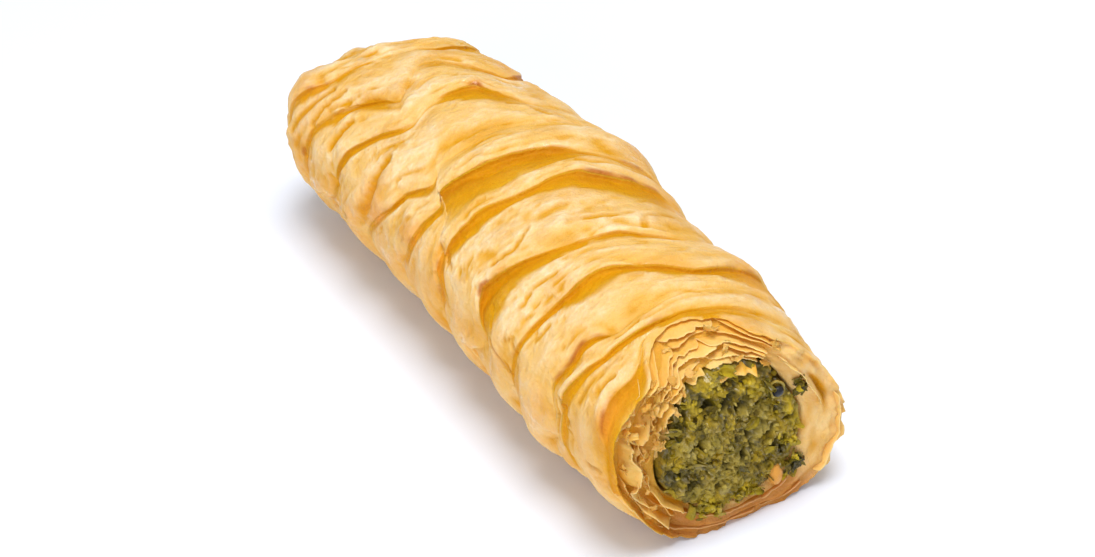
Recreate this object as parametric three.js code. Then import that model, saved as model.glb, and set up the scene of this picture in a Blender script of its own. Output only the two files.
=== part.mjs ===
// Half of a spinach and feta borek: a baked pastry roll lying on its side.
// It is cut across, so that the filling shows.
// +X runs along the roll to the cut face, +Z is up, and the origin is under the roll's middle.
// Places on the roll are given by x and by the angle round it: 0 at the top, positive towards -Y.
import * as THREE from "three";

// Driving dimensions, in millimetres.
const LENGTH = 142;
const HALF_WIDTH = 23;
const CENTRE_HEIGHT = 18.2;
const HEIGHT_ABOVE_CENTRE = 18.3;
const HEIGHT_BELOW_CENTRE = 19.4; // more than CENTRE_HEIGHT, so the roll rests on a flat strip
const END_ROUNDING = 17;
const SHEET_STEP = 0.9;
const CAVITY_HALF_WIDTH = 13.3;
const CAVITY_HALF_HEIGHT = 13.4;
const CAVITY_CENTRE = { y: 0.3, z: 17.2 };
const CAVITY_BACK = -57;
const CAVITY_END_LENGTH = 6; // rounded off in steps behind the straight part
const CAVITY_END_STEP = 2.4;
const FILLING_GAP = 0.3;
const MOUTH_SETBACK = 0.4; // how far the hollow's mouth lies behind the cut
const FACE_SETBACK = 0.6; // and the filling's torn face behind the mouth
const LUMP_HEIGHT = 0.9;

// Fineness of the faceted surfaces.
const COLUMNS = 48;
const END_ROWS = 4;
const CAVITY_ROWS = 7;
const FACE_RINGS = 5;

const HALF_LENGTH = LENGTH / 2;
const FULL_TURN = 360;
const { degToRad, lerp, smoothstep, clamp } = THREE.MathUtils;

// The outer sheet's free edge winds slowly down the near side: [x, angle].
const SEAM = [
  [-71, -14], [-50, -8], [-38, 0], [-24, 16], [-10, 30], [3, 43], [10, 63], [24, 80], [45, 95], [71, 104],
];

// How much the roll bulges past its plain section: [x, offset].
// The first is on the far upper side and the second on the near lower side.
const BULGES = [
  {
    angle: -60,
    spread: 55,
    line: [[-60, -0.4], [-30, 1.7], [0, 3.4], [20, 0], [45, 0.9], [55, -1], [71, -4]],
  },
  {
    angle: 116,
    spread: 45,
    line: [[-60, -0.4], [0, -0.3], [20, 0.4], [42, 1.5], [60, 0]],
  },
];

// Pleats where the sheet is gathered. Each lip faces the cut and has a valley of that width beside it.
// Over: [angle, x, depth] on the outer sheet. Under: the same on the layer that the seam leaves bare.
const PLEATS = [
  {
    valley: 4,
    over: [[-60, -57, 0.5], [-30, -50, 1.1], [-12, -55, 0.3]],
    under: [[34, -54, 0.3], [60, -59, 0.7], [110, -61, 0.3]],
  },
  {
    valley: 4,
    over: [[-60, -41, 0.7], [-30, -38, 0.9], [-3, -43, 0.5]],
    under: [[27, -40, 0.7], [60, -49, 0.5], [110, -53, 0.5]],
  },
  {
    valley: 3,
    over: [[-60, -27, 0.3], [-15, -28, 1.2], [4, -28, 1]],
    under: [[30, -28, 0.5], [60, -36, 0.8], [105, -46, 0.6]],
  },
  {
    valley: 5,
    over: [[-60, -15, 0.3], [-27, -17, 0.8], [15, -18, 0.2]],
    under: [[50, -23, 0.4], [70, -25, 0.8], [110, -30, 0.2]],
  },
  {
    valley: 4,
    over: [[-60, -5, 0.2], [0, -10, 0.2], [25, -10, 0.2]],
    under: [[40, -8, 0.4], [64, -16, 0.6], [105, -27, 0.5]],
  },
  {
    valley: 5.5,
    over: [[-60, 7, 0.3], [-18, 4, 0.8], [5, -1, 1.3], [35, -4.6, 1.6]],
    under: [[50, -3, 1], [80, -7, 0.7], [110, -12, 0.2]],
  },
  {
    valley: 3.5,
    over: [[-55, 19, 0.5], [-28, 15, 1.1], [-5, 10.5, 1.1], [30, 7.5, 0.9]],
    under: [[70, 6, 0.6], [80, 5, 0.7], [110, 3, 0.2]],
  },
  {
    valley: 5,
    over: [[-55, 34, 0.2], [-12, 35, 0.5], [10, 30, 0.4], [38, 25, 0.9], [60, 21.5, 1.1]],
    under: [[98, 20, 0.5]],
  },
  {
    valley: 4,
    over: [[-55, 47, 1], [-28, 49.5, 1.1], [0, 44, 1], [25, 39, 1.3], [70, 36.5, 0.8]],
    under: [[105, 36, 0.4]],
  },
  {
    valley: 2.5,
    over: [[-50, 55, 0.2], [0, 52, 0.2], [45, 51, 0.7], [76, 49, 0.6]],
    under: [[110, 47, 0.2]],
  },
  {
    valley: 3,
    over: [[-50, 62, 0.5], [-8, 61, 0.8], [20, 58, 0.9], [60, 55, 0.8], [85, 53.5, 0.8]],
    under: [[115, 54, 0.6]],
  },
  {
    valley: 4,
    over: [[-20, 66.5, 0.4], [50, 65.5, 1], [75, 67.5, 0.8]],
    under: [[112, 66, 0.3]],
  },
];
const LIP_SHARE = 0.4; // how much of a pleat's depth stands above the plain surface
const LIP_RUN_UP = 3;
const LEAST_SPACING = 1; // between one lip and the next, along the roll

// The pleats fade out on the resting underside, between these angles from the bottom.
const UNDERSIDE = 30;
const CLEAR_OF_FLOOR = 65;

// Rows between one lip and the next, as shares of the way.
// They are the valley floor, shoulder, back, crest and nose of the next lip.
const ROW_SHARES = [0.07, 0.3, 0.62, 0.86, 0.985];

// The value at a place on a line of [place, value] points, held level past its ends.
function valueAt(line, place, column = 1) {
  if (place <= line[0][0]) return line[0][column];
  for (let i = 1; i < line.length; i++) {
    const [start, end] = [line[i - 1], line[i]];
    if (place <= end[0]) {
      return lerp(start[column], end[column], smoothstep(place, start[0], end[0]));
    }
  }
  return line[line.length - 1][column];
}

const seamAngle = (x) => valueAt(SEAM, x);

// A pleat's points as [turn, x, depth], where turn is the angle past the seam.
// It is 0 on the bared layer and 360 at the free edge.
function pleatLine({ over, under }) {
  const turned = (points, extra) => {
    return points.map(([angle, x, depth]) => [angle + extra - seamAngle(x), x, depth]);
  };
  return [...turned(under, 0), ...turned(over, FULL_TURN)].sort((one, other) => one[0] - other[0]);
}
const pleats = PLEATS.map((pleat) => ({ valley: pleat.valley, line: pleatLine(pleat) }));

// Zero on the resting underside, one on the rest of the roll.
function awayFromFloor(angle) {
  const fromBottom = Math.abs(((angle + FULL_TURN) % FULL_TURN) - FULL_TURN / 2);
  return smoothstep(fromBottom, UNDERSIDE, CLEAR_OF_FLOOR);
}

// Height of the skin over the plain section from all pleats, at one x and turn.
function pleatRelief(x, turn) {
  let relief = 0;
  for (const { valley, line } of pleats) {
    const depth = valueAt(line, turn, 2);
    const fromLip = x - valueAt(line, turn, 1);
    if (fromLip < 0) relief += LIP_SHARE * depth * Math.exp(-((fromLip / LIP_RUN_UP) ** 2));
    else relief -= (1 - LIP_SHARE) * depth * (1 - smoothstep(fromLip, 0, valley));
  }
  return relief;
}

function bulge(x, angle) {
  let offset = 0;
  for (const { angle: middle, spread, line } of BULGES) {
    offset += valueAt(line, x) * Math.exp(-(((angle - middle) / spread) ** 2));
  }
  return offset;
}

// A point of the oval section with a given offset outwards.
function sectionPoint(x, angle, offset, scale = 1) {
  const turn = degToRad(angle);
  const height = Math.cos(turn) > 0 ? HEIGHT_ABOVE_CENTRE : HEIGHT_BELOW_CENTRE;
  const y = -(HALF_WIDTH + offset) * scale * Math.sin(turn);
  const z = CENTRE_HEIGHT + (height + offset) * scale * Math.cos(turn);
  return new THREE.Vector3(x, y, Math.max(z, 0));
}

// The cut goes straight down, but the outer sheets have broken back from it over the top.
const TORN_BACK = 6;
const TORN_MIDDLE = 8;
const TORN_SPREAD = 34;
function rimX(angle) {
  return HALF_LENGTH - TORN_BACK * Math.exp(-(((angle - TORN_MIDDLE) / TORN_SPREAD) ** 2));
}

// One point of the pastry's skin.
function skinPoint(x, turn, scale = 1) {
  const angle = seamAngle(x) + turn;
  const shownAngle = angle > FULL_TURN / 2 ? angle - FULL_TURN : angle;
  const spiral = SHEET_STEP * (turn / FULL_TURN - 0.5);
  const relief = pleatRelief(x, turn) * awayFromFloor(angle);
  return sectionPoint(x, angle, spiral + relief + bulge(x, shownAngle), scale);
}

// The rows of the skin from the closed end to the cut, each a ring of points.
function skinRings() {
  const rings = [];
  const endStart = -HALF_LENGTH + END_ROUNDING;
  const firstRow = endStart - 2 * LEAST_SPACING;
  const turns = Array.from({ length: COLUMNS }, (_, i) => (FULL_TURN * i) / (COLUMNS - 1));
  for (let row = 1; row <= END_ROWS; row++) {
    const sweep = ((1 - row / (END_ROWS + 1)) * Math.PI) / 2;
    const x = endStart - END_ROUNDING * Math.sin(sweep);
    rings.push(turns.map((turn) => skinPoint(x, turn, Math.cos(sweep))));
  }
  for (let gap = 0; gap <= pleats.length; gap++) {
    for (const share of ROW_SHARES) {
      rings.push(turns.map((turn) => {
        const angle = seamAngle(HALF_LENGTH) + turn;
        const shownAngle = angle > FULL_TURN / 2 ? angle - FULL_TURN : angle;
        const start = gap === 0 ? firstRow : valueAt(pleats[gap - 1].line, turn);
        const end = gap === pleats.length ? rimX(shownAngle) : valueAt(pleats[gap].line, turn);
        const x = lerp(start, Math.max(end, start + LEAST_SPACING), share);
        const sweep = Math.asin(clamp((endStart - x) / END_ROUNDING, 0, 1));
        return skinPoint(x, turn, Math.cos(sweep));
      }));
    }
  }
  return rings;
}

// Slow unevenness of the filling's wall: how high each wave is, how many go round, and its twist along x.
const WALL_WAVES = [
  { height: 0.5, count: 3, twist: 1 / 40 },
  { height: 0.3, count: 5, twist: -1 / 30 },
];
function wallWave(x, angle) {
  const turn = degToRad(angle);
  return WALL_WAVES.reduce((sum, { height, count, twist }) => {
    return sum + height * Math.sin(count * turn + x * twist);
  }, 0);
}

function cavityRing(x, inset, scale = 1) {
  return Array.from({ length: COLUMNS }, (_, i) => {
    const angle = seamAngle(HALF_LENGTH) + (FULL_TURN * i) / COLUMNS;
    const turn = degToRad(angle);
    const offset = wallWave(x, angle) - inset;
    const y = CAVITY_CENTRE.y - (CAVITY_HALF_WIDTH + offset) * scale * Math.sin(turn);
    const z = CAVITY_CENTRE.z + (CAVITY_HALF_HEIGHT + offset) * scale * Math.cos(turn);
    return new THREE.Vector3(x, y, z);
  });
}

// The hollow's rings from its mouth at the cut to its rounded back.
const MOUTH_X = HALF_LENGTH - MOUTH_SETBACK;
const BACK_SCALES = [0.86, 0.5];
function cavityRings(inset) {
  const rings = [];
  const straightBack = CAVITY_BACK + CAVITY_END_LENGTH;
  for (let row = 0; row <= CAVITY_ROWS; row++) {
    rings.push(cavityRing(lerp(MOUTH_X, straightBack, row / CAVITY_ROWS), inset));
  }
  BACK_SCALES.forEach((scale, i) => {
    rings.push(cavityRing(straightBack - CAVITY_END_STEP * (i + 1) + inset, inset, scale));
  });
  return rings;
}

// A closed skin over rings of equal size, with a point at each end.
function closedSkin(firstPoint, rings, lastPoint) {
  const positions = [firstPoint, ...rings.flat(), lastPoint].flatMap((point) => point.toArray());
  const last = 1 + rings.length * COLUMNS;
  const faces = [];
  for (let i = 0; i < COLUMNS; i++) {
    const next = (i + 1) % COLUMNS;
    faces.push(0, 1 + next, 1 + i);
    const end = last - COLUMNS;
    faces.push(last, end + i, end + next);
    for (let ring = 0; ring < rings.length - 1; ring++) {
      const here = 1 + ring * COLUMNS;
      const beyond = here + COLUMNS;
      faces.push(here + i, here + next, beyond + i);
      faces.push(here + next, beyond + next, beyond + i);
    }
  }
  const geometry = new THREE.BufferGeometry();
  geometry.setAttribute("position", new THREE.Float32BufferAttribute(positions, 3));
  geometry.setIndex(faces);
  geometry.computeVertexNormals();
  return geometry;
}

function middleOf(ring) {
  return ring.reduce((sum, point) => sum.add(point), new THREE.Vector3()).divideScalar(ring.length);
}

// The pastry: skin, rim of broken layers at the cut, and the hollow that holds the filling.
const RIM_FORWARD = 0.6; // where the rim stands, as a share of the way from the skin to the cut
const RIM_INWARD = 0.45; // and of the way from the skin to the hollow
function makePastry() {
  const skin = skinRings();
  const hollow = cavityRings(0);
  const rim = skin[skin.length - 1].map((point, i) => {
    const inner = hollow[0][i];
    const x = lerp(point.x, HALF_LENGTH, RIM_FORWARD);
    const y = lerp(point.y, inner.y, RIM_INWARD);
    const z = lerp(point.z, inner.z, RIM_INWARD);
    return new THREE.Vector3(x, y, z);
  });
  const closedEnd = new THREE.Vector3(-HALF_LENGTH, 0, CENTRE_HEIGHT);
  const hollowEnd = middleOf(hollow[hollow.length - 1]);
  hollowEnd.x = CAVITY_BACK;
  return closedSkin(closedEnd, [...skin, rim, ...hollow], hollowEnd);
}

// The filling: fills the hollow from its back to the cut, where its face is lumpy.
const LUMP_TURN_Y = 0.9; // radians of the lumps' waves per millimetre across, and up
const LUMP_TURN_Z = 1.1;
const LUMP_PHASE = 1;
function makeFilling() {
  const body = cavityRings(FILLING_GAP);
  const face = [];
  for (let ring = 1; ring <= FACE_RINGS; ring++) {
    const scale = ring / (FACE_RINGS + 1);
    face.push(cavityRing(0, FILLING_GAP, scale).map(({ y, z }) => {
      const lump = LUMP_HEIGHT * Math.sin(y * LUMP_TURN_Y + LUMP_PHASE) * Math.cos(z * LUMP_TURN_Z);
      return new THREE.Vector3(MOUTH_X - FACE_SETBACK + lump * (1 - scale / 2), y, z);
    }));
  }
  const faceMiddle = middleOf(face[0]);
  const back = middleOf(body[body.length - 1]);
  back.x = CAVITY_BACK + 2 * FILLING_GAP;
  return closedSkin(back, [...body.reverse(), ...face.reverse()], faceMiddle);
}

const borek = new THREE.Group();
borek.name = "spinach_feta_borek_half";

const crust = new THREE.MeshStandardMaterial({ color: 0xedb666, roughness: 0.5, metalness: 0 });
const pastry = new THREE.Mesh(makePastry(), crust);
pastry.name = "pastry";
borek.add(pastry);

const greens = new THREE.MeshStandardMaterial({ color: 0x84783a, roughness: 0.6, metalness: 0 });
const filling = new THREE.Mesh(makeFilling(), greens);
filling.name = "filling";
borek.add(filling);

// The bulges differ from side to side, so the roll is moved until the origin is under the middle of its box.
const middle = new THREE.Box3().setFromObject(borek).getCenter(new THREE.Vector3());
borek.children.forEach((mesh) => mesh.position.set(-middle.x, -middle.y, 0));

export default borek;
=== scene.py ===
"""Half of a baked spinach and feta borek, cut across, lying on a pale floor.

Shapes are worked out in millimetres along the roll (x), across it (y) and up (z), and angles round the
roll in degrees: 0 at the top, positive towards -Y. The meshes are in metres.
"""

import itertools
import math

import bpy
import numpy as np
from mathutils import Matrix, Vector


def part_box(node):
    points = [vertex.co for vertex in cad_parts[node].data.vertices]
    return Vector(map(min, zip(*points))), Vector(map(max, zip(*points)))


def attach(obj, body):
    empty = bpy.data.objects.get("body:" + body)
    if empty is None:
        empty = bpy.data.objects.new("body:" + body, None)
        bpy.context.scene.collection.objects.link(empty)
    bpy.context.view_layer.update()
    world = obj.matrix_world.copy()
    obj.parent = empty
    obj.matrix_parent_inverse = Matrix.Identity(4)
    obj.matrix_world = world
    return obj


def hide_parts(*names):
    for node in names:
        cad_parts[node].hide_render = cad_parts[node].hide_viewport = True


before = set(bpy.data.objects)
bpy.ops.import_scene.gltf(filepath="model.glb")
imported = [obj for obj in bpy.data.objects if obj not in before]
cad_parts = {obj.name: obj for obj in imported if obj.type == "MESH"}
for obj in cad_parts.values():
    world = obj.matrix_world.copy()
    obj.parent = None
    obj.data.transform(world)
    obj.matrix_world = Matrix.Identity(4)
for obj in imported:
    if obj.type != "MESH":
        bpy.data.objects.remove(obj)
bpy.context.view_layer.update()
bpy.ops.object.select_all(action="DESELECT")

# ------------------------------------------------------------------------------------------ filling
# Chopped spinach bound with crumbled feta, baked inside the roll. It runs nearly the roll's whole length,
# and its torn, lumpy face shows at the cut. The core is one moist mass, a closed tube of rings; loose bits
# of leaf and cheese are laid on its face in the next section.

MM = 0.001
TOUCHING = 0.02  # points nearer than this are one
SCRAMBLE = (73856093, 19349663, 83492791, 40503)  # large odd numbers that mix a place into one number
GRADIENTS = np.random.default_rng(7).normal(size=(256, 3))
GRADIENTS /= np.linalg.norm(GRADIENTS, axis=1, keepdims=True)


def noise(x, y, z, seed=0):
    """Smooth noise, about -1 to 1, in lumps about one unit wide. Each seed gives another pattern."""
    x, y, z = np.broadcast_arrays(x, y, z)
    points = np.stack([x, y, z], axis=-1).astype(float)
    cell = np.floor(points).astype(np.int64)
    part = points - cell
    ease = part**3 * (part * (part * 6 - 15) + 10)
    total = np.zeros(x.shape)
    for corner in itertools.product((0, 1), repeat=3):
        spot = cell + np.array(corner)
        mixed = (seed + 1) * SCRAMBLE[3]
        for axis in range(3):
            mixed = mixed ^ spot[..., axis] * SCRAMBLE[axis]
        gradient = GRADIENTS[(mixed ^ (mixed >> 9)) & 255]
        weight = np.prod(np.where(np.array(corner, bool), ease, 1 - ease), axis=-1)
        total += weight * np.sum(gradient * (part - np.array(corner)), axis=-1)
    return 1.7 * total


def smoothstep(low, high, value):
    """0 below low, 1 above high, eased between. The two may be given the other way round."""
    share = np.clip((value - low) / (high - low), 0, 1)
    return share * share * (3 - 2 * share)


def hill(away, spread):
    """1 at no distance, falling off smoothly over the spread."""
    return np.exp(-((away / spread) ** 2))


def points_of(piece):
    """The piece's points, one row of x, y and z for each."""
    spots = np.empty(len(piece.data.vertices) * 3)
    piece.data.vertices.foreach_get("co", spots)
    return spots.reshape(-1, 3)


def move_points(piece, places):
    """Puts the piece's points at places in millimetres."""
    piece.data.vertices.foreach_set("co", (places * MM).ravel())


def mark(piece, key, values):
    """Keeps a number at each of the piece's points, for its finish to read."""
    layer = piece.data.attributes.new(key, "FLOAT", "POINT")
    layer.data.foreach_set("value", values.astype(np.float32))


def smooth_and_release():
    bpy.ops.object.shade_smooth()
    bpy.ops.object.select_all(action="DESELECT")


def laid_grid(name, places):
    """A grid laid over rows and columns of places, with the row and the column of each of its points."""
    rows, columns = places.shape[:2]
    bpy.ops.mesh.primitive_grid_add(x_subdivisions=rows - 1, y_subdivisions=columns - 1, size=1)
    piece = bpy.context.object
    piece.name = piece.data.name = name
    spots = points_of(piece)
    row = np.rint((spots[:, 0] + 0.5) * (rows - 1)).astype(int)
    column = np.rint((spots[:, 1] + 0.5) * (columns - 1)).astype(int)
    move_points(piece, places[row, column])
    return piece, row, column


def closed_tube(name, rings, **attributes):
    """A closed mesh over rings of points in millimetres, with a fan of faces at each end.

    Where its first and last columns touch they are welded, so that no slivers lie between them.
    """
    piece, row, column = laid_grid(name, rings)
    at_join = (column == 0) | (column == rings.shape[1] - 1)

    def edit(chosen, *steps):
        """Selects some vertices and takes the steps on them in edit mode."""
        bpy.ops.object.mode_set(mode="EDIT")
        bpy.ops.mesh.select_mode(type="VERT")
        bpy.ops.mesh.select_all(action="DESELECT")
        bpy.ops.object.mode_set(mode="OBJECT")
        added = len(piece.data.vertices) - len(chosen)
        piece.data.vertices.foreach_set("select", np.append(chosen, np.zeros(added, bool)))
        bpy.ops.object.mode_set(mode="EDIT")
        for step in steps:
            step()
        bpy.ops.object.mode_set(mode="OBJECT")

    edit(at_join, bpy.ops.mesh.bridge_edge_loops)
    for end in (0, rings.shape[0] - 1):
        edit(row == end, bpy.ops.mesh.edge_face_add, bpy.ops.mesh.poke)
    edit(row >= 0, lambda: bpy.ops.mesh.select_all(action="SELECT"), bpy.ops.mesh.normals_make_consistent)
    for key, values in attributes.items():
        fans = [values[0].mean(), values[-1].mean()]
        mark(piece, key, np.append(values[row, column], fans))
    edit(at_join, lambda: bpy.ops.mesh.remove_doubles(threshold=TOUCHING * MM))
    smooth_and_release()
    return piece


class Wire:
    """A number that varies over a surface, so that the materials' sums read as plain arithmetic."""

    def __init__(self, paint, socket):
        self.paint = paint
        self.socket = socket

    def sum_with(self, operation, first, second):
        return self.paint.node("ShaderNodeMath", {"operation": operation}, {0: first, 1: second}, 0)

    def __add__(self, other):
        return self.sum_with("ADD", self, other)

    def __sub__(self, other):
        return self.sum_with("SUBTRACT", self, other)

    def __rsub__(self, other):
        return self.sum_with("SUBTRACT", other, self)

    def __mul__(self, other):
        return self.sum_with("MULTIPLY", self, other)

    __radd__ = __add__
    __rmul__ = __mul__


class Paint:
    """A procedural finish: its nodes are added one at a time."""

    def __init__(self, name):
        self.material = bpy.data.materials.new(name)
        self.material.use_nodes = True
        self.nodes = self.material.node_tree.nodes
        self.links = self.material.node_tree.links
        self.shader = self.nodes["Principled BSDF"]

    def node(self, kind, settings, values, output):
        """Adds a node, sets it up, then gives its sockets their values or links, and returns one output."""
        made = self.nodes.new(kind)
        for key, value in settings.items():
            setattr(made, key, value)
        for key, value in values.items():
            self.feed(made, key, value)
        return Wire(self, self.pick(made.outputs, output))

    @staticmethod
    def pick(sockets, key):
        if isinstance(key, int):
            return sockets[key]
        return next(socket for socket in sockets if socket.enabled and socket.name == key)

    def feed(self, node, key, value):
        socket = self.pick(node.inputs, key)
        if isinstance(value, Wire):
            self.links.new(value.socket, socket)
        else:
            socket.default_value = value

    def surface(self, **values):
        """Feeds the Principled shader: Base_Color stands for Base Color."""
        for key, value in values.items():
            self.feed(self.shader, key.replace("_", " "), value)

    def lit_inside(self, weight, reach):
        """Lets some light travel inside, as far as reach in metres for red, green and blue."""
        self.surface(Subsurface_Weight=weight, Subsurface_Radius=reach, Subsurface_Scale=1.0)

    def attribute(self, name):
        return self.node("ShaderNodeAttribute", {"attribute_name": name}, {}, "Fac")

    def coordinates(self):
        return self.node("ShaderNodeTexCoord", {}, {}, "Object")

    def grain(self, scale, detail=3.0, roughness=0.55, stretch=(1, 1, 1), kind="FBM"):
        """Cloudy noise around 0.5, in lumps of 1 / scale metres."""
        place = self.node("ShaderNodeMapping", {}, {"Vector": self.coordinates(), "Scale": stretch}, "Vector")
        values = {"Vector": place, "Scale": scale, "Detail": detail, "Roughness": roughness}
        return self.node("ShaderNodeTexNoise", {"noise_type": kind}, values, "Fac")

    def band(self, value, low, high):
        """0 where value is under low and 1 where it is over high, eased between."""
        values = {"Value": value, "From Min": low, "From Max": high}
        return self.node("ShaderNodeMapRange", {"interpolation_type": "SMOOTHSTEP"}, values, "Result")

    def mix(self, share, first, second):
        """Goes from the first colour to the second as share goes from 0 to 1."""
        first, second = (colour if isinstance(colour, Wire) else (*colour, 1) for colour in (first, second))
        values = {"Factor": share, "A": first, "B": second}
        return self.node("ShaderNodeMix", {"data_type": "RGBA"}, values, "Result")

    def stained(self, colour, *stains):
        """The colour under stains, each as strong as the mark that it follows."""
        for key, strength, stain in stains:
            colour = self.mix(self.attribute(key) * strength, colour, stain)
        return colour

    def bump(self, height, distance, strength=1.0):
        values = {"Height": height, "Distance": distance, "Strength": strength}
        return self.node("ShaderNodeBump", {}, values, "Normal")


filling_low, filling_high = (np.array(corner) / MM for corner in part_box("filling"))
FACE_X = filling_high[0] + 0.9
CENTRE_SIDE = -0.545
HOLLOW_Y, HOLLOW_Z = CENTRE_SIDE + 0.3, 17.2
HOLLOW_HALF_WIDTH, HOLLOW_HALF_HEIGHT = 13.3, 13.4
FILLING_GAP = 0.4
FILLING_COLUMNS = 260
FACE_RINGS = 90
INNERMOST_RING = 0.012
# The filling's rings before its face, as (x, size): it tapers at the closed end.
FILLING_SIDES = [(filling_low[0] + 1.5, 0.5), (filling_low[0] + 4, 0.85)]
FILLING_SIDES += [(x, 1) for x in (-40, -20, 0, 20, 40, 55, 62, 66)]
# Where the face is mostly dark leaf, young yellow-green leaf, or feta: (y, z, spread).
DARK_ZONES = [
    (-1.5, 24, 2.9), (-7.5, 14, 2), (8.5, 11.5, 2.4), (11, 6.5, 2), (13, 22, 1.8), (-11, 13, 2.5),
    (-10, 24, 2), (2, 9, 1.5),
]
YELLOW_ZONES = [
    (4, 27, 2.5), (1, 30, 2), (11.8, 13.5, 3.0), (11, 18.6, 2.4), (-6, 5, 2.5), (1, 6, 2), (-3, 28, 2.5),
    (-8, 26, 2),
]
FETA_ZONES = [
    (-9, 18.5, 2), (-5, 19, 3), (3.5, 20, 2.5), (-7, 9, 2.2), (1, 15, 3), (4.8, 20.5, 2.6), (6, 17, 2),
    (-1.5, 11.5, 3.2), (-2.5, 10, 2.5),
]


def hollow_outline(angle, x):
    """How far the hollow's wall is from its middle across and up, with its slow unevenness."""
    turn = np.radians(angle)
    wave = 0.5 * np.sin(3 * turn + x / 40) + 0.3 * np.sin(5 * turn - x / 30)
    return -(HOLLOW_HALF_WIDTH + wave) * np.sin(turn), (HOLLOW_HALF_HEIGHT + wave) * np.cos(turn)


def zones(y, z, table, seed):
    """How strongly one ingredient shows at places of the face."""
    nearness = sum(np.exp(-(((y - at_y) ** 2 + (z - at_z) ** 2) / spread**2)) for at_y, at_z, spread in table)
    speckle = noise(y / 1.6, z / 1.6, 0, seed) + 0.7 * noise(y / 0.7, z / 0.7, 0, seed + 1)
    return np.clip(1.1 * nearness - 0.15 + 0.7 * speckle, 0, 1)


def face_height(y, z):
    """How far the filling's torn face stands out past its plain, in millimetres."""
    lumps = 0.9 * noise(y / 5.2, z / 5.2, 0.3, 1) + 0.8 * noise(y / 2.3, z / 2.3, 1.3, 2)
    crumbs = 0.8 * noise(y / 1.3, z / 1.3, 2.3, 3) + 0.7 * noise(y / 0.6, z / 0.6, 3.3, 4)
    pits = 1.8 * smoothstep(0.3, 0.7, noise(y / 2.6, z / 2.6, 7.1, 5))
    dark_pit = 1.6 * np.exp(-((y + 0.5) ** 2 + (z - 24.3) ** 2) / 2.2)
    under_flap = 1.7 * hill(y - 3.2, 4.6) * hill(z - 29, 2.2)
    return lumps + crumbs - pits - dark_pit - under_flap


def face_x(y, z, share):
    """The face's x at a place, where share is 0 at its middle and 1 at its rim."""
    return FACE_X - 0.7 + face_height(y, z) * (1 - 0.5 * share**8) - 0.8 * share**6


def filling_rings():
    """The core's rings: along its sides from the closed end, then inwards over its face."""
    angle = np.linspace(0, 360, FILLING_COLUMNS, endpoint=False)
    rings = []
    for x, scale in FILLING_SIDES:
        across, up = hollow_outline(angle, x)
        ragged = 0.3 * noise(x / 3, angle / 9, 0, 6)
        shrink = scale * (1 - (FILLING_GAP + ragged) / HOLLOW_HALF_HEIGHT)
        rings.append(np.stack([x + 0 * angle, HOLLOW_Y + across * shrink, HOLLOW_Z + up * shrink], axis=-1))
    across, up = hollow_outline(angle, FACE_X)
    for share in np.linspace(1, INNERMOST_RING, FACE_RINGS):
        rough = 1 - 0.03 * (1 + noise(across / 2, up / 2, 0, 8)) * share
        y, z = HOLLOW_Y + across * share * rough, HOLLOW_Z + up * share * rough
        rings.append(np.stack([face_x(y, z, share), y, z], axis=-1))
    return np.array(rings)


rings = filling_rings()
face_y, face_z = rings[..., 1], rings[..., 2]
filling = closed_tube(
    "filling_core",
    rings,
    dark=0.8 * zones(face_y, face_z, DARK_ZONES, 80),
    yellow=0.7 * zones(face_y, face_z, YELLOW_ZONES, 82),
    feta=0.9 * zones(face_y, face_z, FETA_ZONES, 84),
    # Painted shade: the face is painted darker where it sinks into pits, the deepest pit and the dip under
    # the top flap.
    sunken=smoothstep(0.1, -1.5, face_height(face_y, face_z)),
)
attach(filling, "root")
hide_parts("filling")

OLD_LEAF, BRIGHT_LEAF = (0.080, 0.060, 0.003), (0.44, 0.285, 0.006)
greens = Paint("spinach_and_feta")
leafy = greens.band(greens.grain(420, 4, 0.65), 0.32, 0.68)
olive = greens.stained(
    greens.mix(leafy, OLD_LEAF, BRIGHT_LEAF),
    ("dark", 0.95, (0.038, 0.032, 0.003)),
    ("yellow", 0.9, (0.62, 0.44, 0.014)),
    ("feta", 0.75, (0.49, 0.375, 0.08)),
    ("orange", 1.0, (0.75, 0.33, 0.05)),
    ("seed", 1.0, (0.006, 0.005, 0.008)),
    # painted shade in the face's pits
    ("sunken", 0.8, (0.030, 0.026, 0.003)),
)
wet_spots = greens.band(greens.grain(700, 2, 0.5), 0.46, 0.58)
greens.surface(Base_Color=olive, Roughness=leafy * 0.25 + 0.3, Specular_IOR_Level=0.3)
greens.surface(Coat_Weight=wet_spots * 0.65, Coat_Roughness=0.1)
greens.surface(Normal=greens.bump(greens.grain(1100, 5, 0.7), 0.0007, 0.75))
greens.lit_inside(0.12, (0.0010, 0.0009, 0.0004))
filling.data.materials.append(greens.material)

# ------------------------------------------------------------------------------------------ filling bits
# Shreds of spinach and crumbs of filling and feta that stand loose on the torn face, with one black onion
# seed in its pale ring and a piece of carrot. Each small shape is modelled once and copied many times, then
# every copy gets its own place, size and bend.

CRUMBS = 460
CRUMB_SIZES = (0.2, 0.65)
CRUMB_DEPTHS = (-0.8, 0.0)
FETA_CRUMB_SHARE, FETA_CRUMB_SIZE = 0.16, 0.6
SHREDS = 120
SHRED_LENGTHS = (0.5, 1.5)
SHRED_THICKNESS = 0.12
SEED_RADIUS, SEED_PLACE = 1.05, (71.6, 8.3, 23.5)
SEED_RING_RADII, SEED_RING_PLACE = (1.25, 0.3), (70.8, 8.5, 23.5)
CARROT_RADIUS, CARROT_PLACE = 1.7, (70.6, 7.2, 6.5)
# Where bits hang over the rim of the filling: (y, z, spread, how many).
SPILLS = [
    (-6, 4.2, 2.4, 26), (10.5, 7, 2.0, 22), (9.5, 11.5, 1.8, 14), (13.2, 22, 1.3, 16), (0, 5, 2.5, 14),
]


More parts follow.
